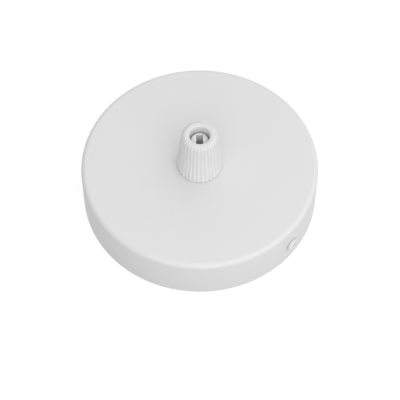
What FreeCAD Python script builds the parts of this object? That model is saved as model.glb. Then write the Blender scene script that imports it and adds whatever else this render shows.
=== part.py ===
import FreeCAD, Part
import math
import os

# Ceiling rose, millimetres. The rim lies on z = 0, which is the ceiling plane, and +Z points into the room,
# along the cord. The bracket and the two side screws lie along X.

# Clearances
thread_clear = 0.1          # radial, metal thread in a tapped hole
cap_thread_clear = 0.15     # radial, moulded thread of the cap on the stem
hole_clear = 0.25           # radial, a thread through a plain hole
moving_gap = 0.2            # between a moving piece and the face it comes down on
cone_gap = 0.15             # radial, between the collet and the cones that close it
flange_gap = 0.3            # between the stem's flange and the skirt of the cap
wall_gap = 0.3              # between the bracket's corners and the canopy wall
tip_gap = 0.3               # screw tips stop this far short of the ceiling
tip_taper = 0.25            # share of a screw's radius that is turned off at its tip

# Canopy, a drawn steel cup
canopy_r = 60.0
canopy_h = 25.0
canopy_wall = 1.0
canopy_edge_r = 2.5

# Bracket, a folded steel strip with an ear for the terminal block
bracket_t = 1.5
bracket_w = 20.0
bracket_bend_r = 1.5
bracket_corner_r = 4.0
tab_land = 3.5              # metal left above the tapped hole of an end tab
slot_spacing = 70.0
slot_w = 5.2
slot_len = 14.0
wire_hole_r = 6.5
ear_margin = 1.2            # ear beyond the terminal block

# Side screws, low pan heads
side_screw_z = 10.8
side_screw_r = 2.0
side_screw_len = 10.0
side_head_r = 3.5
side_head_h = 1.5
side_head_round = 0.7
side_cross_len = 3.8
side_cross_w = 0.9
side_cross_depth = 1.0

# Grip stem, a hollow moulding with two threads and a flange between them
stem_thread_r = 5.0
stem_drop = 12.0            # below the top of the canopy
stem_bore_r = 3.6
stem_chamfer = 0.6
flange_r = 8.8
flange_h = 2.2
flange_flats = 16.0
boss_r = 7.0
boss_h = 13.8
seat_depth = 6.0            # conical seat of the collet in the top of the stem

# Stem nut and toothed lock washer
washer_r = 8.2
washer_t = 0.8
washer_teeth = 12
washer_notch_w = 1.4
washer_notch_depth = 1.5
nut_flats = 14.0
nut_h = 3.0
nut_chamfer = 0.5

# Grip cap, a ribbed cone
cap_h = 25.8
cap_base_r = 11.6
cap_top_r = 9.0             # where the sides would meet the top without the shoulder
cap_shoulder_r = 2.2
cap_shoulder_gap = 0.05     # the turned shoulder starts this far outside the crests
cap_mouth_r = 5.1
cap_lip_r = 0.9
cap_thread_runout = 1.0
cap_cone_h = 1.6
rib_count = 32
rib_depth = 0.5
rib_crown = 0.16            # the rounded crest of a rib falls by this much to its sides
rib_share = 0.68            # share of the pitch taken by the crest
rib_turn = 2.7              # degrees about the cord, from X to the first crest

# Collet, split clamping jaws with a cone at each end
collet_r = 5.5
collet_nose_gap = 0.3
collet_tip_gap = 1.5        # radial, between the mouth and the tip of the jaws
collet_below_seat = 4.8
collet_top_drop = 3.1       # below the top of the cap
jaw_gap = 3.5
jaw_back = 2.6              # from the axis to the bridge that joins the jaws
jaw_land = 1.4
jaw_tooth_pitch = 1.2
jaw_tooth_depth = 0.35
collet_turn = 40.0          # degrees about the cord, where the split faces

# Terminal block, three poles
pole_names = ("live", "earth", "neutral")
sleeve_r = 2.7
sleeve_bore_r = 1.6
sleeve_len = 14.0
sleeve_clear = 0.1
barrel_wall = 1.0
barrel_floor = 1.4
housing_depth = 18.0
housing_gap = 2.0           # from the edge of the strip to the block
tower_h = 4.4               # screw towers above the barrels
tower_wall = 1.0
tower_spacing = 9.0
web_h = 5.0
clamp_screw_r = 1.3
clamp_head_r = 1.7
clamp_head_h = 1.8
clamp_head_sink = 1.4       # below the top of the tower
clamp_slot_w = 0.6
clamp_slot_depth = 0.8
clamp_tip_gap = 0.1         # tips stand this far clear of the wire way

# Screws that hold the terminal block down
fix_screw_r = 1.25
fix_head_r = 2.1
fix_head_h = 1.6
fix_head_room = 0.25
fix_slot_w = 0.7
fix_slot_depth = 0.8

# Earth terminal on the strip
earth_x = -18.0
earth_screw_r = 2.0
earth_head_r = 3.6
earth_head_h = 2.4
earth_cross_len = 4.2
earth_cross_w = 1.0
earth_cross_depth = 1.4
saddle_w = 9.0
saddle_t = 1.0
saddle_leg = 1.2
spring_washer_r = 3.5
spring_washer_t = 0.9
spring_split = 0.8

# Directions
ORIGIN = FreeCAD.Vector(0, 0, 0)
UP = FreeCAD.Vector(0, 0, 1)
ALONG_X = FreeCAD.Vector(1, 0, 0)
ALONG_Y = FreeCAD.Vector(0, 1, 0)
SAME_PLACE = 1e-6           # points closer than this are one point

# Places worked out from the sizes
through = canopy_r          # a cutter this long passes right through any piece
inner_r = canopy_r - canopy_wall
ceiling_z = canopy_h - canopy_wall
tab_x = math.sqrt(inner_r ** 2 - (bracket_w / 2) ** 2) - wall_gap
tab_top = side_screw_z + side_screw_r + tab_land

flange_top = canopy_h + flange_h
boss_top = flange_top + boss_h
seat_r = collet_r + cone_gap
seat_slope = (seat_r - stem_bore_r) / seat_depth

cap_z0 = canopy_h + moving_gap
cap_top = cap_z0 + cap_h
cap_cone_z = boss_top + cap_thread_runout
cap_cone_slope = (seat_r - cap_mouth_r) / cap_cone_h
nose_r = cap_mouth_r - collet_nose_gap
nose_z = cap_cone_z + (collet_r - nose_r) / cap_cone_slope
collet_tip_r = cap_mouth_r - collet_tip_gap
collet_top = cap_top - collet_top_drop
collet_bottom = boss_top - collet_below_seat

barrel_bore_r = sleeve_r + sleeve_clear
barrel_r = barrel_bore_r + barrel_wall
sleeve_z = bracket_t + barrel_floor + barrel_bore_r
tower_top = sleeve_z + barrel_r + tower_h
clamp_head_top = tower_top - clamp_head_sink
clamp_well_r = clamp_head_r + hole_clear
fix_well_r = fix_head_r + fix_head_room
pole_pitch = 2 * barrel_r + 2 * fix_well_r
web_top = bracket_t + web_h
housing_y0 = bracket_w / 2 + housing_gap
housing_y = housing_y0 + housing_depth / 2
ear_half = pole_pitch + barrel_r + ear_margin
ear_end = housing_y0 + housing_depth + ear_margin
saddle_top = bracket_t + saddle_leg + saddle_t


def outline(corners):
    """Closed face in the XZ plane through (x, z) corners; a third number rounds that corner."""
    points = [FreeCAD.Vector(c[0], 0, c[1]) for c in corners]
    radii = [c[2] if len(c) > 2 else 0 for c in corners]
    ends = []
    for i, corner in enumerate(points):
        if not radii[i]:
            ends.append((corner, None, corner))
            continue
        to_last = (points[i - 1] - corner).normalize()
        to_next = (points[(i + 1) % len(points)] - corner).normalize()
        half = to_last.getAngle(to_next) / 2
        reach = radii[i] / math.tan(half)
        centre = corner + (to_last + to_next).normalize() * (radii[i] / math.sin(half))
        middle = centre + (corner - centre).normalize() * radii[i]
        ends.append((corner + to_last * reach, middle, corner + to_next * reach))
    edges = []
    for i, (start, middle, stop) in enumerate(ends):
        if middle is not None:
            edges.append(Part.Arc(start, middle, stop).toShape())
        following = ends[(i + 1) % len(ends)][0]
        if stop.distanceToPoint(following) > SAME_PLACE:
            edges.append(Part.LineSegment(stop, following).toShape())
    return Part.Face(Part.Wire(edges))


def turned(corners):
    """Solid of revolution about Z from (radius, z) corners."""
    return outline(corners).revolve(ORIGIN, UP, 360)


def folded(corners, width, middle_y=0.0):
    """Section in XZ run along Y, centred on middle_y."""
    solid = outline(corners).extrude(ALONG_Y * width)
    solid.translate(ALONG_Y * (middle_y - width / 2))
    return solid


def block(size_x, size_y, size_z, x=0.0, y=0.0, z=0.0):
    """Box centred on x and y that stands on z."""
    return Part.makeBox(size_x, size_y, size_z, FreeCAD.Vector(x - size_x / 2, y - size_y / 2, z))


def rod(radius, length, x=0.0, y=0.0, z=0.0, direction=UP):
    return Part.makeCylinder(radius, length, FreeCAD.Vector(x, y, z), direction)


def bored_across(radius, y, z):
    """Cutter along X through both end walls."""
    return rod(radius, 2 * through, x=-through, y=y, z=z, direction=ALONG_X)


def turn(solid, degrees):
    return solid.rotated(ORIGIN, UP, degrees)


def around(solid, count):
    return Part.makeCompound([turn(solid, 360.0 * i / count) for i in range(count)])


def machine_screw(shank_r, shank_len, head_r, head_h, head_round=0.0):
    """Screw along Z with the underside of its head on z = 0."""
    tip = shank_r * tip_taper
    return turned([
        (0, -shank_len),
        (shank_r - tip, -shank_len),
        (shank_r, tip - shank_len),
        (shank_r, 0),
        (head_r, 0),
        (head_r, head_h, head_round),
        (0, head_h),
    ])


def cross_recess(length, width, depth, head_h):
    bar = block(length, width, 2 * depth, z=head_h - depth)
    return bar.fuse(turn(bar, 90))


def screw_slot(width, depth, head_h):
    return block(2 * through, width, 2 * depth, z=head_h - depth)


def make_canopy():
    stem_hole = stem_thread_r + hole_clear
    cup = turned([
        (stem_hole, canopy_h),
        (canopy_r, canopy_h, canopy_edge_r),
        (canopy_r, 0),
        (inner_r, 0),
        (inner_r, ceiling_z, canopy_edge_r - canopy_wall),
        (stem_hole, ceiling_z),
    ])
    return cup.cut(bored_across(side_screw_r + hole_clear, 0, side_screw_z))


def make_bracket():
    strip = folded([
        (-tab_x, tab_top),
        (-tab_x, 0, bracket_bend_r + bracket_t),
        (tab_x, 0, bracket_bend_r + bracket_t),
        (tab_x, tab_top),
        (tab_x - bracket_t, tab_top),
        (tab_x - bracket_t, bracket_t, bracket_bend_r),
        (bracket_t - tab_x, bracket_t, bracket_bend_r),
        (bracket_t - tab_x, tab_top),
    ], bracket_w)
    end_view = outline([
        (-bracket_w / 2, -bracket_t),
        (bracket_w / 2, -bracket_t),
        (bracket_w / 2, tab_top, bracket_corner_r),
        (-bracket_w / 2, tab_top, bracket_corner_r),
    ]).extrude(ALONG_Y * 2 * through)
    end_view.translate(ALONG_Y * -through)
    strip = strip.common(turn(end_view, 90))
    ear = block(2 * ear_half, ear_end, bracket_t, y=ear_end / 2)
    plate = strip.fuse(ear).removeSplitter()
    cutters = [
        bored_across(side_screw_r + thread_clear, 0, side_screw_z),
        rod(wire_hole_r, through, z=-through / 2),
        rod(earth_screw_r + thread_clear, through, x=earth_x, z=-through / 2),
    ]
    straight = slot_len - slot_w
    for x in (-slot_spacing / 2, slot_spacing / 2):
        cutters.append(block(straight, slot_w, through, x=x, z=-through / 2))
        cutters.append(rod(slot_w / 2, through, x=x - straight / 2, z=-through / 2))
        cutters.append(rod(slot_w / 2, through, x=x + straight / 2, z=-through / 2))
    for side in (-1, 1):
        hole_x = side * pole_pitch / 2
        cutters.append(rod(fix_screw_r + thread_clear, through, x=hole_x, y=housing_y, z=-through / 2))
    for cutter in cutters:
        plate = plate.cut(cutter)
    return plate


def make_side_screw(facing):
    screw = machine_screw(side_screw_r, side_screw_len, side_head_r, side_head_h, side_head_round)
    screw = screw.cut(cross_recess(side_cross_len, side_cross_w, side_cross_depth, side_head_h))
    screw.rotate(ORIGIN, ALONG_Y, 90)
    screw.translate(FreeCAD.Vector(canopy_r + moving_gap, 0, side_screw_z))
    return turn(screw, facing)


def make_stem():
    stem = turned([
        (stem_bore_r, canopy_h - stem_drop),
        (stem_thread_r - stem_chamfer, canopy_h - stem_drop),
        (stem_thread_r, canopy_h - stem_drop + stem_chamfer),
        (stem_thread_r, canopy_h),
        (flange_r, canopy_h),
        (flange_r, flange_top),
        (boss_r, flange_top),
        (boss_r, boss_top - stem_chamfer),
        (boss_r - stem_chamfer, boss_top),
        (seat_r, boss_top),
        (stem_bore_r, boss_top - seat_depth),
    ])
    for side in (-1, 1):
        flat = block(flange_r, 2 * flange_r, flange_h, x=side * (flange_flats + flange_r) / 2, z=canopy_h)
        stem = stem.cut(flat)
    return stem


def make_lock_washer():
    ring = rod(washer_r, washer_t, z=ceiling_z - washer_t)
    ring = ring.cut(rod(stem_thread_r + hole_clear, washer_t, z=ceiling_z - washer_t))
    notch = block(2 * washer_notch_depth, washer_notch_w, washer_t, x=washer_r, z=ceiling_z - washer_t)
    return ring.cut(around(notch, washer_teeth))


def make_nut():
    top = ceiling_z - washer_t
    bottom = top - nut_h
    corner_r = nut_flats / math.sqrt(3)
    corners = [turn(Part.Vertex(corner_r, 0, bottom), 60 * i).Point for i in range(7)]
    hexagon = Part.Face(Part.makePolygon(corners)).extrude(UP * nut_h)
    bore_r = stem_thread_r + thread_clear
    lathe = turned([
        (bore_r, bottom),
        (corner_r - 2 * nut_chamfer, bottom),
        (corner_r + nut_chamfer, bottom + nut_chamfer * math.sqrt(3)),
        (corner_r + nut_chamfer, top),
        (bore_r, top),
    ])
    return hexagon.common(lathe)


def cap_crest_r(z):
    return cap_base_r + (cap_top_r - cap_base_r) * (z - cap_z0) / cap_h


def ribbed_wire(z):
    """Section of the ribbed cone: rounded crests with narrow V grooves between them."""
    pitch = 2 * math.pi / rib_count
    half_crest = rib_share * pitch / 2
    crest_r = cap_crest_r(z)

    def at(angle, drop):
        return FreeCAD.Vector((crest_r - drop) * math.cos(angle), (crest_r - drop) * math.sin(angle), z)

    edges = []
    for i in range(rib_count):
        crest = math.radians(rib_turn) + i * pitch
        start = at(crest - half_crest, rib_crown)
        stop = at(crest + half_crest, rib_crown)
        groove = at(crest + pitch / 2, rib_depth)
        following = at(crest + pitch - half_crest, rib_crown)
        edges.append(Part.Arc(start, at(crest, 0), stop).toShape())
        edges.append(Part.LineSegment(stop, groove).toShape())
        edges.append(Part.LineSegment(groove, following).toShape())
    return Part.Wire(edges)


def make_cap():
    ribs = Part.makeLoft([ribbed_wire(cap_z0), ribbed_wire(cap_top)], True, True)
    shoulder = turned([
        (0, cap_z0),
        (cap_base_r + cap_shoulder_gap, cap_z0),
        (cap_top_r + cap_shoulder_gap, cap_top, cap_shoulder_r),
        (0, cap_top),
    ])
    skirt_r = flange_r + flange_gap
    thread_r = boss_r + cap_thread_clear
    cavity = turned([
        (0, canopy_h),
        (skirt_r, canopy_h),
        (skirt_r, flange_top + flange_gap),
        (thread_r, flange_top + flange_gap + skirt_r - thread_r),
        (thread_r, cap_cone_z),
        (seat_r, cap_cone_z),
        (cap_mouth_r, cap_cone_z + cap_cone_h),
        (cap_mouth_r, cap_top, cap_lip_r),
        (cap_mouth_r + 2 * cap_lip_r, cap_top),
        (cap_mouth_r + 2 * cap_lip_r, cap_top + cap_lip_r),
        (0, cap_top + cap_lip_r),
    ])
    return ribs.common(shoulder).cut(cavity)


def make_collet():
    foot_r = collet_r - seat_slope * collet_below_seat
    jaws = turned([
        (0, collet_bottom),
        (foot_r, collet_bottom),
        (collet_r, boss_top),
        (collet_r, cap_cone_z),
        (nose_r, nose_z),
        (collet_tip_r, collet_top),
        (0, collet_top),
    ])
    teeth_z = collet_bottom + jaw_land
    tooth_count = int((collet_top - jaw_land - teeth_z) / jaw_tooth_pitch)
    side = [(jaw_gap / 2, collet_bottom - jaw_land)]
    for i in range(tooth_count):
        side.append((jaw_gap / 2, teeth_z + i * jaw_tooth_pitch))
        side.append((jaw_gap / 2 + jaw_tooth_depth, teeth_z + (i + 0.5) * jaw_tooth_pitch))
    side.append((jaw_gap / 2, teeth_z + tooth_count * jaw_tooth_pitch))
    side.append((jaw_gap / 2, collet_top + jaw_land))
    other_side = [(-x, z) for x, z in reversed(side)]
    reach = jaw_back + 2 * collet_r
    passage = folded(side + other_side, reach, middle_y=jaw_back - reach / 2)
    return turn(jaws.cut(passage), collet_turn)


def make_housing():
    barrel = folded([
        (-barrel_r, bracket_t),
        (barrel_r, bracket_t),
        (barrel_r, sleeve_z),
        (-barrel_r, sleeve_z),
    ], housing_depth, housing_y)
    barrel = barrel.fuse(rod(barrel_r, housing_depth, y=housing_y0, z=sleeve_z, direction=ALONG_Y))
    tower_r = clamp_well_r + tower_wall
    for side in (-1, 1):
        tower_y = housing_y + side * tower_spacing / 2
        barrel = barrel.fuse(rod(tower_r, tower_top - sleeve_z, y=tower_y, z=sleeve_z))
    bores = [rod(barrel_bore_r, housing_depth, y=housing_y0, z=sleeve_z, direction=ALONG_Y)]
    for side in (-1, 1):
        tower_y = housing_y + side * tower_spacing / 2
        bores.append(rod(clamp_well_r, tower_top - sleeve_z, y=tower_y, z=sleeve_z))
    for bore in bores:
        barrel = barrel.cut(bore)
    housing = barrel
    for side in (-1, 1):
        web = block(2 * fix_well_r, tower_spacing, web_h, x=side * pole_pitch / 2, y=housing_y, z=bracket_t)
        hole = rod(fix_screw_r + hole_clear, web_h, x=side * pole_pitch / 2, y=housing_y, z=bracket_t)
        housing = housing.fuse(web.cut(hole))
        housing = housing.fuse(barrel.translated(ALONG_X * side * pole_pitch))
    return housing.removeSplitter()


def make_sleeve(x):
    end_y = housing_y - sleeve_len / 2
    sleeve = rod(sleeve_r, sleeve_len, x=x, y=end_y, z=sleeve_z, direction=ALONG_Y)
    sleeve = sleeve.cut(rod(sleeve_bore_r, sleeve_len, x=x, y=end_y, z=sleeve_z, direction=ALONG_Y))
    for side in (-1, 1):
        tower_y = housing_y + side * tower_spacing / 2
        sleeve = sleeve.cut(rod(clamp_screw_r + thread_clear, sleeve_r, x=x, y=tower_y, z=sleeve_z))
    return sleeve


def make_clamp_screw(x, side):
    tip_z = sleeve_z + sleeve_bore_r + clamp_tip_gap
    shank_len = clamp_head_top - clamp_head_h - tip_z
    screw = machine_screw(clamp_screw_r, shank_len, clamp_head_r, clamp_head_h)
    screw = screw.cut(screw_slot(clamp_slot_w, clamp_slot_depth, clamp_head_h))
    tower_y = housing_y + side * tower_spacing / 2
    screw.translate(FreeCAD.Vector(x, tower_y, clamp_head_top - clamp_head_h))
    return screw


def make_fixing_screw(side):
    screw = machine_screw(fix_screw_r, web_top - tip_gap, fix_head_r, fix_head_h)
    screw = screw.cut(screw_slot(fix_slot_w, fix_slot_depth, fix_head_h))
    screw.translate(FreeCAD.Vector(side * pole_pitch / 2, housing_y, web_top))
    return screw


def make_saddle():
    half = saddle_w / 2
    saddle = folded([
        (-half, bracket_t),
        (saddle_t - half, bracket_t),
        (saddle_t - half, bracket_t + saddle_leg),
        (half - saddle_t, bracket_t + saddle_leg),
        (half - saddle_t, bracket_t),
        (half, bracket_t),
        (half, saddle_top, saddle_t),
        (-half, saddle_top, saddle_t),
    ], saddle_w)
    saddle.translate(ALONG_X * earth_x)
    return saddle.cut(rod(earth_screw_r + hole_clear, saddle_top, x=earth_x))


def make_spring_washer():
    ring = rod(spring_washer_r, spring_washer_t, x=earth_x, z=saddle_top)
    ring = ring.cut(rod(earth_screw_r + hole_clear, spring_washer_t, x=earth_x, z=saddle_top))
    split = block(spring_split, spring_washer_r, spring_washer_t,
                  x=earth_x, y=-spring_washer_r / 2, z=saddle_top)
    return ring.cut(split)


def make_earth_screw():
    seat = saddle_top + spring_washer_t
    screw = machine_screw(earth_screw_r, seat - tip_gap, earth_head_r, earth_head_h)
    screw = screw.cut(cross_recess(earth_cross_len, earth_cross_w, earth_cross_depth, earth_head_h))
    screw.translate(FreeCAD.Vector(earth_x, 0, seat))
    return screw


pieces = {
    "canopy": make_canopy(),
    "mounting_bracket": make_bracket(),
    "side_screw_right": make_side_screw(0),
    "side_screw_left": make_side_screw(180),
    "grip_stem": make_stem(),
    "stem_lock_washer": make_lock_washer(),
    "stem_nut": make_nut(),
    "grip_cap": make_cap(),
    "grip_collet": make_collet(),
    "terminal_housing": make_housing(),
    "earth_clamp_washer": make_saddle(),
    "earth_lock_washer": make_spring_washer(),
    "earth_screw": make_earth_screw(),
}
for place, pole in enumerate(pole_names):
    pole_x = (place - 1) * pole_pitch
    pieces["terminal_sleeve_" + pole] = make_sleeve(pole_x)
    pieces["terminal_screw_" + pole + "_inner"] = make_clamp_screw(pole_x, -1)
    pieces["terminal_screw_" + pole + "_outer"] = make_clamp_screw(pole_x, 1)
pieces["terminal_fixing_screw_left"] = make_fixing_screw(-1)
pieces["terminal_fixing_screw_right"] = make_fixing_screw(1)

os.makedirs("parts", exist_ok=True)
for name, shape in pieces.items():
    shape.exportStep("parts/" + name + ".step")
    print(name, shape.isValid(), len(shape.Solids), round(shape.Volume, 2))
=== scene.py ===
import bmesh
import bpy
import math
from mathutils import Matrix, Vector


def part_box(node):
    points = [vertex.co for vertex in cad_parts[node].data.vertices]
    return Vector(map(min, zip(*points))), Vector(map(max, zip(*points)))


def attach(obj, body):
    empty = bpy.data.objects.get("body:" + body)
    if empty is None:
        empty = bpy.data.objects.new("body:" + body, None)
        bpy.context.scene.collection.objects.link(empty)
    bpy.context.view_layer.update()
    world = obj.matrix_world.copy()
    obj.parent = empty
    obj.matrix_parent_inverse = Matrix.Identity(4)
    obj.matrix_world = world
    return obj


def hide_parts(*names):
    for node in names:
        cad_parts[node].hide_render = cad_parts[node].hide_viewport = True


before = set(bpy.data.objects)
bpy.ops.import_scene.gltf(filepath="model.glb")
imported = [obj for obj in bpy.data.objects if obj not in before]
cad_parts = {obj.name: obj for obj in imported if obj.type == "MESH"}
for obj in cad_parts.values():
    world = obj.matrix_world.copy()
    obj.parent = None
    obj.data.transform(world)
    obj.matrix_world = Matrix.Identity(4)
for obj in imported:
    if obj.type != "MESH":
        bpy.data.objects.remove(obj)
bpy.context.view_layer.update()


# Mounting bracket: a strip of sheet steel, blanked, folded up at both ends and zinc plated.
# It is screwed flat to the ceiling through its two slots, and carries the rest of the rose.

MM = 0.001
WELD = 0.001 * MM
flat_within = math.radians(0.5)
sharp_over = math.radians(35)
smooth_up_to = math.radians(32)
bevel_segments = 2
bracket_edge = 0.15 * MM


def softened_copy(node, edge_width):
    """Mesh of a CAD solid, welded, with its flat faces whole again and its edges broken."""
    shape = bmesh.new()
    shape.from_mesh(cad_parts[node].data)
    bmesh.ops.remove_doubles(shape, verts=shape.verts, dist=WELD)
    bmesh.ops.dissolve_limit(shape, angle_limit=flat_within, verts=shape.verts, edges=shape.edges)
    break_edges(shape, edge_width)
    return as_mesh(shape, node + "_softened")


def break_edges(shape, edge_width):
    """Takes the sharp edges off a bmesh with a narrow bevel."""
    sharp = [e for e in shape.edges if e.is_manifold and e.calc_face_angle() > sharp_over]
    bmesh.ops.bevel(shape, geom=sharp, offset=edge_width, segments=bevel_segments, profile=0.5,
                    affect="EDGES", clamp_overlap=True)


def as_mesh(shape, name):
    """The finished bmesh as a mesh, welded, with outward faces and smooth shading up to real edges."""
    bmesh.ops.remove_doubles(shape, verts=shape.verts, dist=WELD)
    bmesh.ops.dissolve_degenerate(shape, edges=shape.edges, dist=WELD)
    bmesh.ops.recalc_face_normals(shape, faces=shape.faces)
    mesh = bpy.data.meshes.new(name)
    shape.to_mesh(mesh)
    shape.free()
    mesh.shade_smooth()
    mesh.set_sharp_from_angle(angle=smooth_up_to)
    return mesh


def new_piece(name, mesh, *materials):
    """Object at the origin that shows a mesh in its own materials."""
    mesh.materials.clear()
    for material in materials:
        mesh.materials.append(material)
    piece = bpy.data.objects.new(name, mesh)
    bpy.context.scene.collection.objects.link(piece)
    return piece


def linear(colour):
    """An sRGB hex colour as the linear values that a shader socket holds."""
    channels = [int(colour[i:i + 2], 16) / 255 for i in (1, 3, 5)]
    return [c / 12.92 if c <= 0.04045 else ((c + 0.055) / 1.055) ** 2.4 for c in channels] + [1.0]


def add_node(tree, kind, inputs=None, **settings):
    """Adds a node; an input, by name or number, is given a value or linked from another node's socket."""
    node = tree.nodes.new(kind)
    for name, value in settings.items():
        setattr(node, name, value)
    for key, value in (inputs or {}).items():
        if isinstance(value, bpy.types.NodeSocket):
            tree.links.new(value, node.inputs[key])
        else:
            node.inputs[key].default_value = value
    return node


def new_material(name, **uniform):
    """A Principled surface with its uniform values set; returns it, its shader and its Object coordinates."""
    material = bpy.data.materials.new(name)
    material.use_nodes = True
    tree = material.node_tree
    shader = next(n for n in tree.nodes if n.type == "BSDF_PRINCIPLED")
    for socket, value in uniform.items():
        shader.inputs[socket.replace("_", " ")].default_value = value
    place = add_node(tree, "ShaderNodeTexCoord").outputs["Object"]
    return material, shader, place


def per_metre(millimetres):
    """Texture scale at which one cell of a pattern is this many millimetres wide."""
    return 1 / (millimetres * MM)


def zinc_plated_steel():
    """Bright zinc on rolled steel: cool grey metal, dulled a little in soft blotches, with fine rolling
    lines along the strip."""
    zinc, shader, place = new_material("zinc_plated_rolled_steel", Metallic=1.0)
    tree = zinc.node_tree
    blotch = add_node(tree, "ShaderNodeTexNoise", {"Vector": place, "Scale": per_metre(6), "Detail": 3.0})
    tint = add_node(tree, "ShaderNodeValToRGB", {"Fac": blotch.outputs["Fac"]})
    tint.color_ramp.elements[0].position = 0.3
    tint.color_ramp.elements[0].color = linear("#B9BDC0")
    tint.color_ramp.elements[1].position = 0.7
    tint.color_ramp.elements[1].color = linear("#CFD1D0")
    tree.links.new(tint.outputs["Color"], shader.inputs["Base Color"])
    dull = add_node(tree, "ShaderNodeMapRange", {
        "Value": blotch.outputs["Fac"], "To Min": 0.28, "To Max": 0.42})
    tree.links.new(dull.outputs["Result"], shader.inputs["Roughness"])
    stretched = add_node(tree, "ShaderNodeMapping", {"Vector": place, "Scale": (0.05, 1.0, 1.0)})
    lines = add_node(tree, "ShaderNodeTexNoise", {"Vector": stretched.outputs[0], "Scale": per_metre(0.25)})
    relief = add_node(tree, "ShaderNodeBump", {"Height": lines.outputs["Fac"], "Distance": 0.004 * MM})
    tree.links.new(relief.outputs["Normal"], shader.inputs["Normal"])
    return zinc


zinc = zinc_plated_steel()
bracket = new_piece("bracket_strip", softened_copy("mounting_bracket", bracket_edge), zinc)
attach(bracket, "base")
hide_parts("mounting_bracket")


# Earth terminal on the bracket: a folded saddle that grips the wire, a split spring washer and a
# cheese-head screw with a cross recess, all zinc-plated steel, screwed into the strip.

saddle_edge = 0.12 * MM
spring_edge = 0.1 * MM
earth_low, earth_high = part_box("earth_screw")
washer_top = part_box("earth_lock_washer")[1].z
earth_shank_r = 2.0 * MM
earth_pitch = 0.7 * MM
earth_head_edge = 0.3 * MM
head_edge_steps = 4
earth_columns = 48
earth_cross = {"length": 4.2 * MM, "width": 1.0 * MM, "depth": 1.4 * MM}


def even_angles(count):
    """Directions that share out a full turn evenly."""
    return [2 * math.pi * i / count for i in range(count)]


def skin(shape, rows, angles, wrap=0):
    """Quads between rows of (radius, height), or of functions that give both for an angle. A row closes on
    itself, or on the row that is wrap further on, as the rows of a helix do."""
    rings = []
    for row in rows:
        ring = []
        for angle in angles:
            radius, height = row(angle) if callable(row) else row
            ring.append(shape.verts.new((radius * math.cos(angle), radius * math.sin(angle), height)))
        rings.append(ring)
    for k in range(len(rings) - 1 - wrap):
        for i in range(len(angles)):
            j = (i + 1) % len(angles)
            step = wrap if j == 0 else 0
            shape.faces.new((rings[k][i], rings[k + step][j], rings[k + step + 1][j], rings[k + 1][i]))


def thread(shape, radius, bottom, top, pitch, angles):
    """Right-hand thread of the usual 60 degree form between two heights, running out at both ends. radius is
    that of the crest, or a function of height. Rows follow the helix, so crests and roots stay crisp."""
    depth = 0.61 * pitch
    form = [(0.0, 0.0), (0.125, 0.0), (0.4375, depth), (0.6875, depth)]

    def helix(turn, phase, drop):
        def row(angle):
            height = pitch * (turn + phase + angle / (2 * math.pi))
            height = min(max(height, bottom), top)
            run_out = min(height - bottom, top - height) / (0.5 * pitch)
            return radius(height) - drop * min(run_out, 1.0), height
        return row

    first = math.floor(bottom / pitch) - 2
    last = math.ceil(top / pitch) + 2
    rows = [helix(turn, phase, drop) for turn in range(first, last) for phase, drop in form]
    skin(shape, rows, angles, wrap=len(form))


def machine_screw(name, shank_r, tip, seat, pitch, head_rows, columns):
    """Screw along Z from its tip to its seat, under a head given from the rim of its seat to its top."""
    angles = even_angles(columns)
    point = 0.5 * pitch
    point_slope = 0.6
    neck = seat - point

    def crest(height):
        return shank_r - point_slope * max(0.0, tip + point - height)

    shape = bmesh.new()
    skin(shape, [(0.0, tip), (crest(tip), tip)], angles)
    thread(shape, crest, tip, neck, pitch, angles)
    skin(shape, [(shank_r, neck), (shank_r, seat)] + head_rows + [(0.0, head_rows[-1][1])], angles)
    return as_mesh(shape, name)


def arc_rows(centre_r, centre_z, radius, from_deg, to_deg, steps):
    """Rows of (radius, height) round an arc; 0 degrees points away from the axis and 90 up."""
    turns = [math.radians(from_deg + (to_deg - from_deg) * i / steps) for i in range(steps + 1)]
    return [(centre_r + radius * math.cos(t), centre_z + radius * math.sin(t)) for t in turns]


def cut_away(mesh, cutter_mesh):
    """The mesh with the cutter's volume taken out of it."""
    blank = bpy.data.objects.new("blank", mesh)
    cutter = bpy.data.objects.new("cutter", cutter_mesh)
    for part in (blank, cutter):
        bpy.context.scene.collection.objects.link(part)
    cut = blank.modifiers.new("cut", "BOOLEAN")
    cut.operation = "DIFFERENCE"
    cut.solver = "EXACT"
    cut.object = cutter
    result = evaluated_mesh(blank)
    for part in (blank, cutter):
        bpy.data.objects.remove(part)
    shape = bmesh.new()
    shape.from_mesh(result)
    return as_mesh(shape, mesh.name)


def evaluated_mesh(piece):
    """A new mesh of an object as its modifiers leave it."""
    graph = bpy.context.evaluated_depsgraph_get()
    return bpy.data.meshes.new_from_object(piece.evaluated_get(graph), depsgraph=graph)


def cross_punch(length, width, depth, top):
    """Cutter for a cross recess: four wings that slope in to a blunt point."""
    rings = []
    for height, run, half in ((top + depth, length / 2, width / 2), (top, length / 2, width / 2),
                              (top - depth, length / 4, width / 3)):
        ring = []
        for quarter in range(4):
            turn = Matrix.Rotation(math.radians(90 * quarter), 4, "Z")
            for corner in ((run, -half), (run, half), (half, half)):
                ring.append(turn @ Vector((*corner, height)))
        rings.append(ring)
    return stacked("cross_punch", rings)


def stacked(name, rings):
    """Closed mesh through a stack of rings of points, each with as many corners as the next."""
    shape = bmesh.new()
    stack = [[shape.verts.new(point) for point in ring] for ring in rings]
    shape.faces.new(stack[0])
    shape.faces.new(stack[-1])
    for ring, following in zip(stack, stack[1:]):
        for i in range(len(ring)):
            j = (i + 1) % len(ring)
            shape.faces.new((ring[i], ring[j], following[j], following[i]))
    return as_mesh(shape, name)


def cheese_head(radius, seat, top, edge):
    """Rows of a straight-sided head whose top edge is turned off round."""
    return [(radius, seat)] + arc_rows(radius - edge, top - edge, edge, 0, 90, head_edge_steps)


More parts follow.
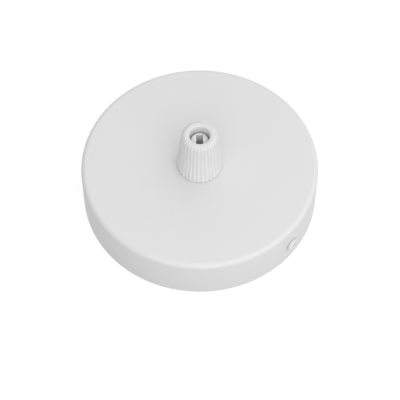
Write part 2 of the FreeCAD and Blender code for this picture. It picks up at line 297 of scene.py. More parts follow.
saddle = new_piece("earth_saddle", softened_copy("earth_clamp_washer", saddle_edge), zinc)
spring_washer = new_piece("earth_spring_washer", softened_copy("earth_lock_washer", spring_edge), zinc)
earth_head = cheese_head((earth_high.x - earth_low.x) / 2, washer_top, earth_high.z, earth_head_edge)
earth_screw_mesh = machine_screw("earth_screw_turned", earth_shank_r, earth_low.z, washer_top, earth_pitch,
                                 earth_head, earth_columns)
earth_screw_mesh = cut_away(earth_screw_mesh, cross_punch(top=earth_high.z, **earth_cross))
earth_screw_mesh.transform(Matrix.Translation(((earth_low.x + earth_high.x) / 2, 0, 0)))
earth_screw = new_piece("earth_cheese_screw", earth_screw_mesh, zinc)
for piece, node in ((saddle, "earth_clamp_washer"), (spring_washer, "earth_lock_washer"),
                    (earth_screw, "earth_screw")):
    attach(piece, "base")
    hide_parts(node)


# Terminal block: a three-pole housing moulded in natural polyamide and screwed to the ear of the bracket.
# Each pole has a turned brass sleeve with two steel clamping screws that stand in wells above it.

poles = ("live", "earth", "neutral")
clamp_nodes = ["terminal_screw_" + pole + end for pole in poles for end in ("_inner", "_outer")]
fixing_nodes = ["terminal_fixing_screw_left", "terminal_fixing_screw_right"]
housing_edge = 0.2 * MM
sleeve_edge = 0.12 * MM
small_head_edge = 0.15 * MM
small_screw_columns = 32
clamp_sizes = {"head_h": 1.8 * MM, "shank_r": 1.3 * MM, "pitch": 0.45 * MM,
               "slot_w": 0.6 * MM, "slot_depth": 0.8 * MM}
fixing_sizes = {"head_h": 1.6 * MM, "shank_r": 1.25 * MM, "pitch": 0.45 * MM,
                "slot_w": 0.7 * MM, "slot_depth": 0.8 * MM}


def moulded_polyamide():
    """Natural polyamide: warm milky white that lets a little light in, with the faint bloom of moulding."""
    polyamide, shader, place = new_material("natural_polyamide_moulded", Roughness=0.42, IOR=1.53,
                                            Subsurface_Weight=0.3, Subsurface_Scale=1.2 * MM)
    shader.inputs["Subsurface Radius"].default_value = (1.0, 0.8, 0.6)
    tree = polyamide.node_tree
    flow = add_node(tree, "ShaderNodeTexNoise", {"Vector": place, "Scale": per_metre(9), "Detail": 2.0})
    tint = add_node(tree, "ShaderNodeValToRGB", {"Fac": flow.outputs["Fac"]})
    tint.color_ramp.elements[0].color = linear("#E3DFD3")
    tint.color_ramp.elements[1].color = linear("#ECE9DF")
    tree.links.new(tint.outputs["Color"], shader.inputs["Base Color"])
    spark = add_node(tree, "ShaderNodeTexNoise", {"Vector": place, "Scale": per_metre(0.2), "Detail": 2.0})
    relief = add_node(tree, "ShaderNodeBump", {"Height": spark.outputs["Fac"], "Distance": 0.006 * MM})
    tree.links.new(relief.outputs["Normal"], shader.inputs["Normal"])
    return polyamide


def turned_brass():
    """Free-cutting brass straight off the lathe: yellow metal with tool rings along the sleeve, which are
    drawn about 2 mm apart, coarser than real, to show. A wave texture runs 20 radians in one cell."""
    brass, shader, place = new_material("turned_brass", Metallic=1.0, Roughness=0.27)
    tree = brass.node_tree
    tarnish = add_node(tree, "ShaderNodeTexNoise", {"Vector": place, "Scale": per_metre(4), "Detail": 3.0})
    tint = add_node(tree, "ShaderNodeValToRGB", {"Fac": tarnish.outputs["Fac"]})
    tint.color_ramp.elements[0].color = linear("#C39A4B")
    tint.color_ramp.elements[1].color = linear("#D9B768")
    tree.links.new(tint.outputs["Color"], shader.inputs["Base Color"])
    ring_radian = 0.3
    wave_radians = 20
    rings = add_node(tree, "ShaderNodeTexWave", {
        "Vector": place, "Scale": per_metre(ring_radian) / wave_radians},
                     wave_type="BANDS", bands_direction="Y")
    relief = add_node(tree, "ShaderNodeBump", {"Height": rings.outputs["Fac"], "Distance": 0.003 * MM})
    tree.links.new(relief.outputs["Normal"], shader.inputs["Normal"])
    return brass


def set_out_tree():
    """Geometry Nodes: one piece on every point, each turned about Z by its own seeded angle."""
    tree = bpy.data.node_groups.new("set_out_on_points", "GeometryNodeTree")
    tree.interface.new_socket("Points", in_out="INPUT", socket_type="NodeSocketGeometry")
    tree.interface.new_socket("Piece", in_out="INPUT", socket_type="NodeSocketObject")
    tree.interface.new_socket("Largest turn", in_out="INPUT", socket_type="NodeSocketFloat")
    tree.interface.new_socket("Seed", in_out="INPUT", socket_type="NodeSocketInt")
    tree.interface.new_socket("Material", in_out="INPUT", socket_type="NodeSocketMaterial")
    tree.interface.new_socket("Mesh", in_out="OUTPUT", socket_type="NodeSocketGeometry")
    given = add_node(tree, "NodeGroupInput").outputs
    piece = add_node(tree, "GeometryNodeObjectInfo", {"Object": given["Piece"]})
    chance = add_node(tree, "FunctionNodeRandomValue", {"Max": given["Largest turn"], "Seed": given["Seed"]},
                      data_type="FLOAT")
    about_z = add_node(tree, "ShaderNodeCombineXYZ", {"Z": chance.outputs["Value"]})
    turn = add_node(tree, "FunctionNodeEulerToRotation", {"Euler": about_z.outputs[0]})
    copies = add_node(tree, "GeometryNodeInstanceOnPoints", {
        "Points": given["Points"], "Instance": piece.outputs["Geometry"], "Rotation": turn.outputs[0]})
    real = add_node(tree, "GeometryNodeRealizeInstances", {"Geometry": copies.outputs[0]})
    dressed = add_node(tree, "GeometryNodeSetMaterial", {
        "Geometry": real.outputs[0], "Material": given["Material"]})
    add_node(tree, "NodeGroupOutput", {"Mesh": dressed.outputs[0]})
    return tree


def grown_mesh(name, tree, start_mesh, **values):
    """Runs a Geometry Nodes tree on a mesh and gives the plain mesh that it makes."""
    grower = bpy.data.objects.new(name + "_start", start_mesh)
    modifier = grower.modifiers.new("grow", "NODES")
    modifier.node_group = tree
    for item in tree.interface.items_tree:
        if item.in_out == "INPUT" and item.name.replace(" ", "_") in values:
            modifier[item.identifier] = values[item.name.replace(" ", "_")]
    bpy.context.scene.collection.objects.link(grower)
    shape = bmesh.new()
    shape.from_mesh(evaluated_mesh(grower))
    bpy.data.objects.remove(grower)
    return as_mesh(shape, name)


def set_out(name, mesh, points, material, largest_turn=0.0, seed=1):
    """One mesh with a copy of a piece, modelled at the origin, on each point."""
    pattern = bpy.data.objects.new(name + "_pattern", mesh)
    bpy.context.scene.collection.objects.link(pattern)
    spots = bpy.data.meshes.new(name + "_points")
    spots.from_pydata(points, [], [])
    made = grown_mesh(name, set_out_on_points, spots, Piece=pattern, Largest_turn=largest_turn, Seed=seed,
                      Material=material)
    bpy.data.objects.remove(pattern)
    return made


def box_punch(size_x, size_y, size_z, middle):
    """Plain block cutter for a screwdriver slot."""
    shape = bmesh.new()
    place = Matrix.LocRotScale(middle, None, (size_x, size_y, size_z))
    bmesh.ops.create_cube(shape, size=1.0, matrix=place)
    return as_mesh(shape, "box_punch")


def slotted_screw(name, node, head_h, shank_r, pitch, slot_w, slot_depth):
    """Slotted cheese-head screw, sized from one CAD screw, with the tip of its shank on the origin."""
    low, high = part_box(node)
    length = high.z - low.z
    head = cheese_head((high.x - low.x) / 2, length - head_h, length, small_head_edge)
    blank = machine_screw(name, shank_r, 0.0, length - head_h, pitch, head, small_screw_columns)
    slot = box_punch(length, slot_w, 2 * slot_depth, Vector((0, 0, length)))
    return cut_away(blank, slot)


def foot_of(node):
    """Lowest point on the axis of an upright CAD screw."""
    low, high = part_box(node)
    return Vector(((low.x + high.x) / 2, (low.y + high.y) / 2, low.z))


set_out_on_points = set_out_tree()
polyamide = moulded_polyamide()
brass = turned_brass()

housing = new_piece("terminal_block_moulding", softened_copy("terminal_housing", housing_edge), polyamide)
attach(housing, "base")
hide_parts("terminal_housing")

sleeve_mesh = softened_copy("terminal_sleeve_earth", sleeve_edge)
sleeve_steps = [foot_of("terminal_sleeve_" + pole) - foot_of("terminal_sleeve_earth") for pole in poles]
sleeves = new_piece("terminal_sleeves", set_out("brass_sleeves", sleeve_mesh, sleeve_steps, brass), brass)
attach(sleeves, "base")
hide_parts(*["terminal_sleeve_" + pole for pole in poles])

clamp_mesh = slotted_screw("clamp_screw", clamp_nodes[0], **clamp_sizes)
clamp_mesh = set_out("clamp_screws", clamp_mesh, [foot_of(node) for node in clamp_nodes], zinc,
                     largest_turn=math.pi, seed=4)
fixing_mesh = slotted_screw("fixing_screw", fixing_nodes[0], **fixing_sizes)
fixing_mesh = set_out("fixing_screws", fixing_mesh, [foot_of(node) for node in fixing_nodes], zinc,
                      largest_turn=math.pi, seed=9)
for name, mesh, nodes in (("terminal_clamp_screws", clamp_mesh, clamp_nodes),
                          ("terminal_fixing_screws", fixing_mesh, fixing_nodes)):
    screws = new_piece(name, mesh, zinc)
    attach(screws, "base")
    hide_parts(*nodes)


# Canopy: a shallow cup drawn from sheet steel, with a rounded edge, a centre hole for the grip and a hole
# in each side for a screw. It is powder coated white inside and out.

canopy_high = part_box("canopy")[1]
canopy_r = canopy_high.x
canopy_top = canopy_high.z
canopy_wall = 1.0 * MM
canopy_edge = 2.5 * MM
paint_edge = 0.25 * MM
stem_hole_r = 5.25 * MM
side_hole_r = 2.25 * MM
side_hole_columns = 48
side_screw_z = sum(corner.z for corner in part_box("side_screw_right")) / 2
canopy_columns = 288
canopy_edge_steps = 14
inner_edge_steps = 8
paint_edge_steps = 4


def powder_coat():
    """Polyester powder coat: clean white with a satin sheen, and the low soft ripple of a coating that has
    flowed in the oven."""
    coat, shader, place = new_material("white_powder_coat_on_steel", IOR=1.5)
    tree = coat.node_tree
    ripple = add_node(tree, "ShaderNodeTexNoise", {"Vector": place, "Scale": per_metre(1.4), "Detail": 2.0})
    tint = add_node(tree, "ShaderNodeValToRGB", {"Fac": ripple.outputs["Fac"]})
    tint.color_ramp.elements[0].color = linear("#E3E3E3")
    tint.color_ramp.elements[1].color = linear("#E5E5E5")
    tree.links.new(tint.outputs["Color"], shader.inputs["Base Color"])
    sheen = add_node(tree, "ShaderNodeMapRange", {
        "Value": ripple.outputs["Fac"], "To Min": 0.38, "To Max": 0.46})
    tree.links.new(sheen.outputs["Result"], shader.inputs["Roughness"])
    relief = add_node(tree, "ShaderNodeBump", {"Height": ripple.outputs["Fac"], "Distance": 0.008 * MM})
    tree.links.new(relief.outputs["Normal"], shader.inputs["Normal"])
    return coat


def canopy_cup():
    """The cup's closed outline turned round the axis: top, edge, wall, rim and inside."""
    inner_r = canopy_r - canopy_wall
    ceiling = canopy_top - canopy_wall
    rows = arc_rows(stem_hole_r + paint_edge, canopy_top - paint_edge, paint_edge, 180, 90, paint_edge_steps)
    rows += arc_rows(canopy_r - canopy_edge, canopy_top - canopy_edge, canopy_edge, 90, 0, canopy_edge_steps)
    rows += arc_rows(canopy_r - paint_edge, paint_edge, paint_edge, 0, -90, paint_edge_steps)
    rows += arc_rows(inner_r + paint_edge, paint_edge, paint_edge, -90, -180, paint_edge_steps)
    inner_edge = canopy_edge - canopy_wall
    rows += arc_rows(inner_r - inner_edge, ceiling - inner_edge, inner_edge, 0, 90, inner_edge_steps)
    rows += arc_rows(stem_hole_r + paint_edge, ceiling + paint_edge, paint_edge, 270, 180, paint_edge_steps)
    shape = bmesh.new()
    skin(shape, rows + rows[:1], even_angles(canopy_columns))
    return as_mesh(shape, "canopy_cup")


def cross_drill(radius, height):
    """Cutter along X for the two side holes."""
    shape = bmesh.new()
    reach = 2 * canopy_r
    rows = [(0.0, -reach), (radius, -reach), (radius, reach), (0.0, reach)]
    skin(shape, rows, even_angles(side_hole_columns))
    shape.transform(Matrix.Translation((0, 0, height)) @ Matrix.Rotation(math.radians(90), 4, "Y"))
    return as_mesh(shape, "cross_drill")


coat = powder_coat()
canopy = new_piece("canopy_cup", cut_away(canopy_cup(), cross_drill(side_hole_r, side_screw_z)), coat)
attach(canopy, "base")
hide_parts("canopy")


# Grip stem: a hollow white moulding. Its thin thread goes through the canopy, its flange with two flats
# rests on it, and its wide thread carries the cap. A toothed washer and a steel nut hold it from inside.

stem_low, stem_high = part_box("grip_stem")
stem_thread_r = 5.0 * MM
stem_thread_pitch = 1.0 * MM
stem_bore_r = 3.6 * MM
flange_r = 8.8 * MM
flange_flat = 8.0 * MM
flange_top = canopy_top + 2.2 * MM
boss_r = 7.0 * MM
cap_pitch = 1.5 * MM
stem_chamfer = 0.6 * MM
seat_r = 5.65 * MM
seat_depth = 6.0 * MM
flange_edge = 0.2 * MM
stem_columns = 144
toothed_edge = 0.1 * MM
nut_edge = 0.12 * MM


def moulded_white_plastic(name, shades):
    """White plastic from a spark-eroded mould: matt satin skin, its fine grain drawn coarser than real to
    show. A little light spreads inside it, which softens the shade in grooves and thin walls."""
    plastic, shader, place = new_material(name, IOR=1.53, Subsurface_Weight=0.15, Subsurface_Scale=1.0 * MM)
    shader.inputs["Subsurface Radius"].default_value = (1.0, 1.0, 1.0)
    tree = plastic.node_tree
    flow = add_node(tree, "ShaderNodeTexNoise", {"Vector": place, "Scale": per_metre(5), "Detail": 2.0})
    tint = add_node(tree, "ShaderNodeValToRGB", {"Fac": flow.outputs["Fac"]})
    for stop, shade in zip(tint.color_ramp.elements, shades):
        stop.color = linear(shade)
    tree.links.new(tint.outputs["Color"], shader.inputs["Base Color"])
    grain = add_node(tree, "ShaderNodeTexNoise", {"Vector": place, "Scale": per_metre(0.18), "Detail": 2.0})
    sheen = add_node(tree, "ShaderNodeMapRange", {
        "Value": grain.outputs["Fac"], "To Min": 0.38, "To Max": 0.48})
    tree.links.new(sheen.outputs["Result"], shader.inputs["Roughness"])
    relief = add_node(tree, "ShaderNodeBump", {"Height": grain.outputs["Fac"], "Distance": 0.005 * MM})
    tree.links.new(relief.outputs["Normal"], shader.inputs["Normal"])
    return plastic


def stem_moulding():
    """The stem from the seat for the collet, down its bore, and up its outside past the flange."""
    angles = even_angles(stem_columns)
    bottom = stem_low.z
    top = stem_high.z

    def lower_crest(height):
        return stem_thread_r - max(0.0, bottom + stem_chamfer - height)

    def upper_crest(height):
        return boss_r - max(0.0, height - (top - stem_chamfer))

    def on_flange(inset, height):
        def row(angle):
            flat = flange_flat / max(abs(math.cos(angle)), flange_flat / (2 * flange_r))
            return min(flange_r, flat) - inset, height
        return row

    shape = bmesh.new()
    skin(shape, [
        (seat_r, top),
        (stem_bore_r, top - seat_depth),
        (stem_bore_r, bottom),
        (lower_crest(bottom), bottom),
    ], angles)
    thread(shape, lower_crest, bottom, canopy_top, stem_thread_pitch, angles)
    skin(shape, [
        (stem_thread_r, canopy_top),
        on_flange(flange_edge, canopy_top),
        on_flange(0.0, canopy_top + flange_edge),
        on_flange(0.0, flange_top - flange_edge),
        on_flange(flange_edge, flange_top),
        (boss_r, flange_top),
    ], angles)
    thread(shape, upper_crest, flange_top, top, cap_pitch, angles)
    skin(shape, [(upper_crest(top), top), (seat_r, top)], angles)
    return as_mesh(shape, "stem_moulding")


plastic = moulded_white_plastic("white_nylon_moulded", ("#E0E0E0", "#E4E4E4"))
stem = new_piece("stem_moulding", stem_moulding(), plastic)
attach(stem, "base")
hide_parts("grip_stem")

lock_washer = new_piece("stem_toothed_washer", softened_copy("stem_lock_washer", toothed_edge), zinc)
nut = new_piece("stem_hexagon_nut", softened_copy("stem_nut", nut_edge), zinc)
for piece, node in ((lock_washer, "stem_lock_washer"), (nut, "stem_nut")):
    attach(piece, "base")
    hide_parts(node)


# Collet: white split jaws, moulded with a cone at each end, a domed tip and teeth along the cord's way. It
# sits loose between the seat in the stem and the cone in the cap, which squeeze it shut as the cap is
# screwed down.

collet_low, collet_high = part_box("grip_collet")
collet_r = 5.5 * MM
nose_r = 4.8 * MM
dome_h = 3.1 * MM
dome_flat_r = 1.4 * MM
dome_steps = 10
collet_columns = 120
mouth_r = 5.1 * MM
cap_cone_z = stem_high.z + 1.0 * MM
cap_cone_h = 1.6 * MM
jaw_gap = 3.5 * MM
jaw_back = 2.6 * MM
jaw_land = 1.4 * MM
jaw_tooth_pitch = 1.2 * MM
jaw_tooth_depth = 0.35 * MM
jaw_edge = 0.12 * MM
jaw_turn_deg = 40.0


def collet_blank():
    """The jaws' outside, from the foot in the stem's seat up to the domed tip."""
    foot_r = collet_r - (stem_high.z - collet_low.z) * (seat_r - stem_bore_r) / seat_depth
    nose_z = cap_cone_z + (collet_r - nose_r) * cap_cone_h / (seat_r - mouth_r)
    rows = [
        (0.0, collet_low.z),
        (foot_r, collet_low.z),
        (collet_r, stem_high.z),
        (collet_r, cap_cone_z),
        (nose_r, nose_z),
    ]
    for share, rise in arc_rows(0.0, 0.0, 1.0, 0, 90, dome_steps):
        rows.append((dome_flat_r + (nose_r - dome_flat_r) * share, collet_high.z - dome_h * (1 - rise)))
    rows.append((0.0, collet_high.z))
    shape = bmesh.new()
    skin(shape, rows, even_angles(collet_columns))
    return as_mesh(shape, "collet_blank")


def jaw_slot_punch():
    """Cutter for the cord's way between the jaws: open in front, closed behind, with toothed sides."""
    first_tooth = collet_low.z + jaw_land
    tooth_count = int((collet_high.z - jaw_land - first_tooth) / jaw_tooth_pitch)
    levels = [(jaw_gap / 2, collet_low.z - jaw_land)]
    for i in range(tooth_count):
        levels.append((jaw_gap / 2, first_tooth + i * jaw_tooth_pitch))
        levels.append((jaw_gap / 2 + jaw_tooth_depth, first_tooth + (i + 0.5) * jaw_tooth_pitch))
    levels.append((jaw_gap / 2, first_tooth + tooth_count * jaw_tooth_pitch))
    levels.append((jaw_gap / 2, collet_high.z + jaw_land))
    front = -2 * collet_r
    rings = []
    for half, z in levels:
        rings.append([(-half, front, z), (half, front, z), (half, jaw_back, z), (-half, jaw_back, z)])
    return stacked("jaw_slot_punch", rings)


def collet_jaws():
    """The blank with the cord's way cut out of it and its edges broken, turned to its place."""
    shape = bmesh.new()
    shape.from_mesh(cut_away(collet_blank(), jaw_slot_punch()))
    break_edges(shape, jaw_edge)
    shape.transform(Matrix.Rotation(math.radians(jaw_turn_deg), 4, "Z"))
    return as_mesh(shape, "collet_jaws")


# The jaws take a lighter copy of the cap's white plastic: painted light that lifts the shade deep in the
# cap's mouth.
jaw_plastic_lightened = moulded_white_plastic("soft_white_polypropylene_moulded", ("#F2F2F2", "#F6F6F6"))
collet = new_piece("collet_jaws", collet_jaws(), jaw_plastic_lightened)
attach(collet, "collet")
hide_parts("grip_collet")


# Grip cap: a white moulded cone with ribs all round for the fingers, which run out on its rounded shoulder,
# and a round mouth for the cord. Inside are a skirt over the flange, a thread for the stem and a cone that
# closes the collet.

cap_low, cap_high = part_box("grip_cap")
cap_base_r = 11.6 * MM
cap_top_r = 9.0 * MM
shoulder_r = 2.2 * MM
rib_count = 32
rib_turn_deg = 2.7
rib_depth = 0.5 * MM
rib_crown = 0.16 * MM
rib_share = 0.68
groove_fades_deg = 55.0
groove_ends_deg = 80.0
lip_r = 0.9 * MM
foot_edge = 0.25 * MM
skirt_r = 9.1 * MM
skirt_top = flange_top + 0.3 * MM
cap_thread_r = 7.15 * MM
side_steps = 4
shoulder_steps = 16
lip_steps = 8


def rib_columns():
    """Places across a rib as shares of half its pitch, closer together in the groove, each with its drop."""
    half = []
    for t in (0.0, 0.25, 0.5, rib_share):
        half.append((t, rib_crown * (t / rib_share) ** 2))
    for s in (1 / 3, 2 / 3, 1.0):
        drop = rib_crown + (rib_depth - rib_crown) * math.sin(s * math.pi / 2)
        half.append((rib_share + s * (1 - rib_share), drop))
    return [(-t, drop) for t, drop in reversed(half[1:])] + half


def rib_rows():
    """Rows up one rib from the skirt, over the shoulder to the mouth. Each has its radius and height on the
    crest, how far above level the surface faces there, in degrees, and the share of the groove's depth."""
    lean = (cap_base_r - cap_top_r) / (cap_high.z - cap_low.z)
    side_deg = math.degrees(math.atan(lean))
    centre_z = cap_high.z - shoulder_r
    centre_r = cap_top_r + lean * shoulder_r - shoulder_r / math.cos(math.radians(side_deg))
    foot = cap_low.z + foot_edge
    shoulder = centre_z + shoulder_r * math.sin(math.radians(side_deg))
    rows = [(skirt_r, cap_low.z, 0.0, 0.0), (cap_base_r - foot_edge, cap_low.z, 0.0, 1.0)]
    for i in range(side_steps + 1):
        height = foot + (shoulder - foot) * i / side_steps
        rows.append((cap_base_r - lean * (height - cap_low.z), height, side_deg, 1.0))
    shoulder_arc = arc_rows(centre_r, centre_z, shoulder_r, side_deg, 90, shoulder_steps)
    for i, (radius, height) in enumerate(shoulder_arc):
        faces_deg = side_deg + (90 - side_deg) * i / shoulder_steps
        fade = (groove_ends_deg - faces_deg) / (groove_ends_deg - groove_fades_deg)
        share = min(max(fade, 0.0), 1.0)
        rows.append((radius, height, faces_deg, share * share * (3 - 2 * share)))
    lip = arc_rows(mouth_r + lip_r, cap_high.z - lip_r, lip_r, 90, 180, lip_steps)
    return rows + [(radius, height, 90.0, 0.0) for radius, height in lip]


def one_rib():
    """Strip of the cap's outer skin, one rib wide."""
    half_pitch = math.pi / rib_count
    shape = bmesh.new()
    rings = []
    for radius, height, faces_deg, share in rib_rows():
        ring = []
        for t, drop in rib_columns():
            r = radius - drop * share * math.cos(math.radians(faces_deg))
            z = height - drop * share * math.sin(math.radians(faces_deg))
            ring.append(shape.verts.new((r * math.cos(t * half_pitch), r * math.sin(t * half_pitch), z)))
        rings.append(ring)
    for lower, upper in zip(rings, rings[1:]):
        for i in range(len(lower) - 1):
            shape.faces.new((lower[i], lower[i + 1], upper[i + 1], upper[i]))
    return as_mesh(shape, "one_rib")


def cap_bore():
    """The cap's inside, from the mouth down to the skirt, on the same columns as the ribs."""
    pitch = 2 * math.pi / rib_count
    across = [t for t, drop in rib_columns()][:-1]
    angles = sorted((i * pitch + t * pitch / 2) % (2 * math.pi) for i in range(rib_count) for t in across)
    thread_bottom = skirt_top + skirt_r - cap_thread_r
    shape = bmesh.new()
    skin(shape, [(mouth_r, cap_high.z - lip_r), (mouth_r, cap_cone_z + cap_cone_h), (seat_r, cap_cone_z),
                 (cap_thread_r, cap_cone_z)], angles)
    thread(shape, lambda height: cap_thread_r, thread_bottom, cap_cone_z, cap_pitch, angles)
    skin(shape, [(cap_thread_r, thread_bottom), (skirt_r, skirt_top), (skirt_r, cap_low.z)], angles)
    return as_mesh(shape, "cap_bore")


def round_the_axis_tree():
    """Geometry Nodes: a strip repeated round Z to a full turn, joined to the rest of its piece."""
    tree = bpy.data.node_groups.new("ribs_round_the_axis", "GeometryNodeTree")
    tree.interface.new_socket("Strip", in_out="INPUT", socket_type="NodeSocketGeometry")
    tree.interface.new_socket("Count", in_out="INPUT", socket_type="NodeSocketInt")
    tree.interface.new_socket("Bore", in_out="INPUT", socket_type="NodeSocketObject")
    tree.interface.new_socket("Material", in_out="INPUT", socket_type="NodeSocketMaterial")
    tree.interface.new_socket("Mesh", in_out="OUTPUT", socket_type="NodeSocketGeometry")
    given = add_node(tree, "NodeGroupInput").outputs
    points = add_node(tree, "GeometryNodePoints", {"Count": given["Count"]})
    number = add_node(tree, "GeometryNodeInputIndex")
    share = add_node(tree, "ShaderNodeMath", {0: number.outputs[0], 1: given["Count"]}, operation="DIVIDE")
    angle = add_node(tree, "ShaderNodeMath", {0: share.outputs[0], 1: 2 * math.pi}, operation="MULTIPLY")
    about_z = add_node(tree, "ShaderNodeCombineXYZ", {"Z": angle.outputs[0]})
    turn = add_node(tree, "FunctionNodeEulerToRotation", {"Euler": about_z.outputs[0]})
    ribs = add_node(tree, "GeometryNodeInstanceOnPoints", {
        "Points": points.outputs[0], "Instance": given["Strip"], "Rotation": turn.outputs[0]})
    bore = add_node(tree, "GeometryNodeObjectInfo", {"Object": given["Bore"]})
    whole = add_node(tree, "GeometryNodeJoinGeometry", {"Geometry": ribs.outputs[0]})
    tree.links.new(bore.outputs["Geometry"], whole.inputs["Geometry"])
    real = add_node(tree, "GeometryNodeRealizeInstances", {"Geometry": whole.outputs[0]})
    dressed = add_node(tree, "GeometryNodeSetMaterial", {
        "Geometry": real.outputs[0], "Material": given["Material"]})
    add_node(tree, "NodeGroupOutput", {"Mesh": dressed.outputs[0]})
    return tree


bore = bpy.data.objects.new("cap_bore", cap_bore())
bpy.context.scene.collection.objects.link(bore)
cap_mesh = grown_mesh("cap_moulding", round_the_axis_tree(), one_rib(), Count=rib_count, Bore=bore,
                      Material=plastic)
bpy.data.objects.remove(bore)
cap_mesh.transform(Matrix.Rotation(math.radians(rib_turn_deg), 4, "Z"))
cap = new_piece("cap_moulding", cap_mesh, plastic)
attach(cap, "cap")
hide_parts("grip_cap")


# Side screws: two low pan-head machine screws, zinc plated, their heads painted to match the canopy.
# They go through the side of the canopy into the tapped ends of the bracket and hold it up.

side_low, side_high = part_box("side_screw_right")
side_seat = 60.2 * MM
side_shank_r = 2.0 * MM
side_pitch = 0.7 * MM
side_round = 0.7 * MM
side_foot = 0.12 * MM
side_cross = {"length": 3.8 * MM, "width": 0.9 * MM, "depth": 1.0 * MM}
side_columns = 64
side_round_steps = 8
side_foot_steps = 3


def painted_screw_head():
    """White stoved paint over plating: a little glossier than the canopy, with a fine even ripple."""
    paint, shader, place = new_material("white_paint_on_screw", Roughness=0.36, IOR=1.5)
    tree = paint.node_tree
    ripple = add_node(tree, "ShaderNodeTexNoise", {"Vector": place, "Scale": per_metre(0.8), "Detail": 2.0})
    tint = add_node(tree, "ShaderNodeValToRGB", {"Fac": ripple.outputs["Fac"]})
    tint.color_ramp.elements[0].color = linear("#E2E2E2")
    tint.color_ramp.elements[1].color = linear("#E6E6E6")
    tree.links.new(tint.outputs["Color"], shader.inputs["Base Color"])
    relief = add_node(tree, "ShaderNodeBump", {"Height": ripple.outputs["Fac"], "Distance": 0.006 * MM})
    tree.links.new(relief.outputs["Normal"], shader.inputs["Normal"])
    return paint


def pan_head_screw():
    """Screw along Z, the underside of its head on z = 0. Faces below the head take the second material."""
    head_r = (side_high.z - side_low.z) / 2
    head_h = side_high.x - side_seat
    tip = side_low.x - side_seat
    head = arc_rows(head_r - side_foot, side_foot, side_foot, -90, 0, side_foot_steps)
    head += arc_rows(head_r - side_round, head_h - side_round, side_round, 0, 90, side_round_steps)
    blank = machine_screw("pan_head_screw", side_shank_r, tip, 0.0, side_pitch, head, side_columns)
    mesh = cut_away(blank, cross_punch(top=head_h, **side_cross))
    for face in mesh.polygons:
        face.material_index = 0 if face.center.z > -WELD else 1
    return mesh


paint = painted_screw_head()
outward = Matrix.Translation((side_seat, 0, side_screw_z)) @ Matrix.Rotation(math.radians(90), 4, "Y")
for side, turn_deg in (("right", 0), ("left", 180)):
    screw_mesh = pan_head_screw()
    screw_mesh.transform(Matrix.Rotation(math.radians(turn_deg), 4, "Z") @ outward)
    side_screw = new_piece(side + "_pan_head_screw", screw_mesh, paint, zinc)
    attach(side_screw, side + "_screw")
    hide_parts("side_screw_" + side)


# Studio: a plain pale floor under a white surround that is dimmer on the left, one large soft lamp in front
# and a little to the right, and a camera that looks down on the rose from the front.

sky_level = 0.97
dim_share = 0.72
dim_from = 0.04
floor_r = 4.0
floor_columns = 96
floor_colour = "#B3B3B3"
floor_glow = 0.85
floor_shade = "#7C7C7C"
view_azimuth = math.radians(40.0)
view_elevation = math.radians(58.06)
view_distance = 0.7894
view_lens = 138.53
aim_height = 12.5 * MM
aim_right = 0.14 * MM
aim_up = -11.67 * MM
dim_azimuth = view_azimuth - math.radians(106.0)
lamp_azimuth = view_azimuth + math.radians(14.0)
lamp_elevation = math.radians(35.0)
lamp_distance = 1.3
lamp_size = 1.7
lamp_power = 5.2


def direction(azimuth, elevation):
    """Unit vector from the rose; azimuth 0 is towards -Y, and it grows towards +X."""
    level = math.cos(elevation)
    return Vector((math.sin(azimuth) * level, -math.cos(azimuth) * level, math.sin(elevation)))


def seen_directly(tree):
    """1 for rays from the camera and for those that a shiny or clear surface sends on, else 0."""
    path = add_node(tree, "ShaderNodeLightPath").outputs
    glossy = add_node(tree, "ShaderNodeMath", {
        0: path["Is Camera Ray"], 1: path["Is Glossy Ray"]}, operation="MAXIMUM")
    clear = add_node(tree, "ShaderNodeMath", {
        0: glossy.outputs[0], 1: path["Is Transmission Ray"]}, operation="MAXIMUM")
    return clear.outputs[0]


def matt_floor(name):
    """Pale matt paper on the floor, which lights the rose from below."""
    material = bpy.data.materials.new(name)
    material.use_nodes = True
    tree = material.node_tree
    tree.nodes.clear()
    matt = add_node(tree, "ShaderNodeBsdfDiffuse", {"Color": linear(floor_colour)})
    add_node(tree, "ShaderNodeOutputMaterial", {"Surface": matt.outputs[0]})
    return material


def white_floor():
    """The same paper round the rose; seen directly it is white, with a faint shadow kept."""
    material = matt_floor("pale_studio_floor")
    tree = material.node_tree
    matt = next(n for n in tree.nodes if n.type == "BSDF_DIFFUSE")
    surface = next(n for n in tree.nodes if n.type == "OUTPUT_MATERIAL").inputs["Surface"]
    glow = add_node(tree, "ShaderNodeEmission", {"Color": linear("#FFFFFF"), "Strength": floor_glow})
    shade = add_node(tree, "ShaderNodeBsdfDiffuse", {"Color": linear(floor_shade)})
    seen = add_node(tree, "ShaderNodeAddShader", {0: glow.outputs[0], 1: shade.outputs[0]})
    mixed = add_node(tree, "ShaderNodeMixShader", {
        0: seen_directly(tree), 1: matt.outputs[0], 2: seen.outputs[0]})
    tree.links.new(mixed.outputs[0], surface)
    return material


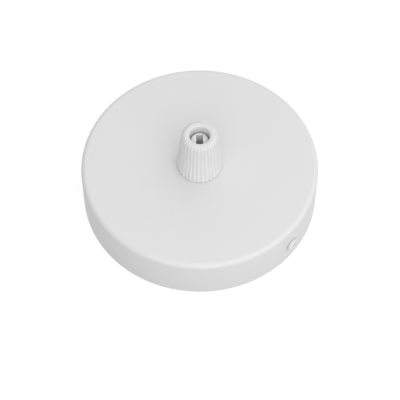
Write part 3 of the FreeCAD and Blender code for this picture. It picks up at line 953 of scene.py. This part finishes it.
floor_shape = bmesh.new()
skin(floor_shape, [(0.0, 0.0), (canopy_r - canopy_wall, 0.0), (floor_r, 0.0)], even_angles(floor_columns))
floor_mesh = as_mesh(floor_shape, "studio_floor")
floor = new_piece("studio_floor", floor_mesh, white_floor(), matt_floor("pale_floor_under_the_rose"))
for face in floor_mesh.polygons:
    face.material_index = 1 if face.center.length < canopy_r else 0

world = bpy.data.worlds.new("white_surround")
bpy.context.scene.world = world
world.use_nodes = True
sky = next(n for n in world.node_tree.nodes if n.type == "BACKGROUND")
sky.inputs["Color"].default_value = linear("#FFFFFF")
heading = add_node(world.node_tree, "ShaderNodeTexCoord").outputs["Generated"]
towards_dim = add_node(world.node_tree, "ShaderNodeVectorMath", {0: heading, 1: direction(dim_azimuth, 0.0)},
                       operation="DOT_PRODUCT")
lighting = add_node(world.node_tree, "ShaderNodeMapRange", {
    "Value": towards_dim.outputs["Value"], "From Min": dim_from, "To Min": sky_level,
    "To Max": sky_level * (1 - dim_share)}, interpolation_type="SMOOTHSTEP")
level = add_node(world.node_tree, "ShaderNodeMapRange", {
    "Value": seen_directly(world.node_tree), "To Min": lighting.outputs["Result"], "To Max": 1.0})
world.node_tree.links.new(level.outputs["Result"], sky.inputs["Strength"])

lamp_data = bpy.data.lights.new("soft_lamp", "AREA")
lamp_data.shape = "DISK"
lamp_data.size = lamp_size
lamp_data.energy = lamp_power
lamp = bpy.data.objects.new("soft_lamp", lamp_data)
to_lamp = direction(lamp_azimuth, lamp_elevation)
lamp.location = to_lamp * lamp_distance
lamp.rotation_euler = (-to_lamp).to_track_quat("-Z", "Y").to_euler()
bpy.context.scene.collection.objects.link(lamp)

camera_data = bpy.data.cameras.new("front_camera")
camera_data.lens = view_lens
camera = bpy.data.objects.new("front_camera", camera_data)
to_camera = direction(view_azimuth, view_elevation)
facing = (-to_camera).to_track_quat("-Z", "Y")
aim = Vector((0, 0, aim_height)) + facing @ Vector((aim_right, aim_up, 0))
camera.location = aim + to_camera * view_distance
camera.rotation_euler = facing.to_euler()
bpy.context.scene.collection.objects.link(camera)
bpy.context.scene.camera = camera
bpy.context.scene.view_settings.view_transform = "Standard"
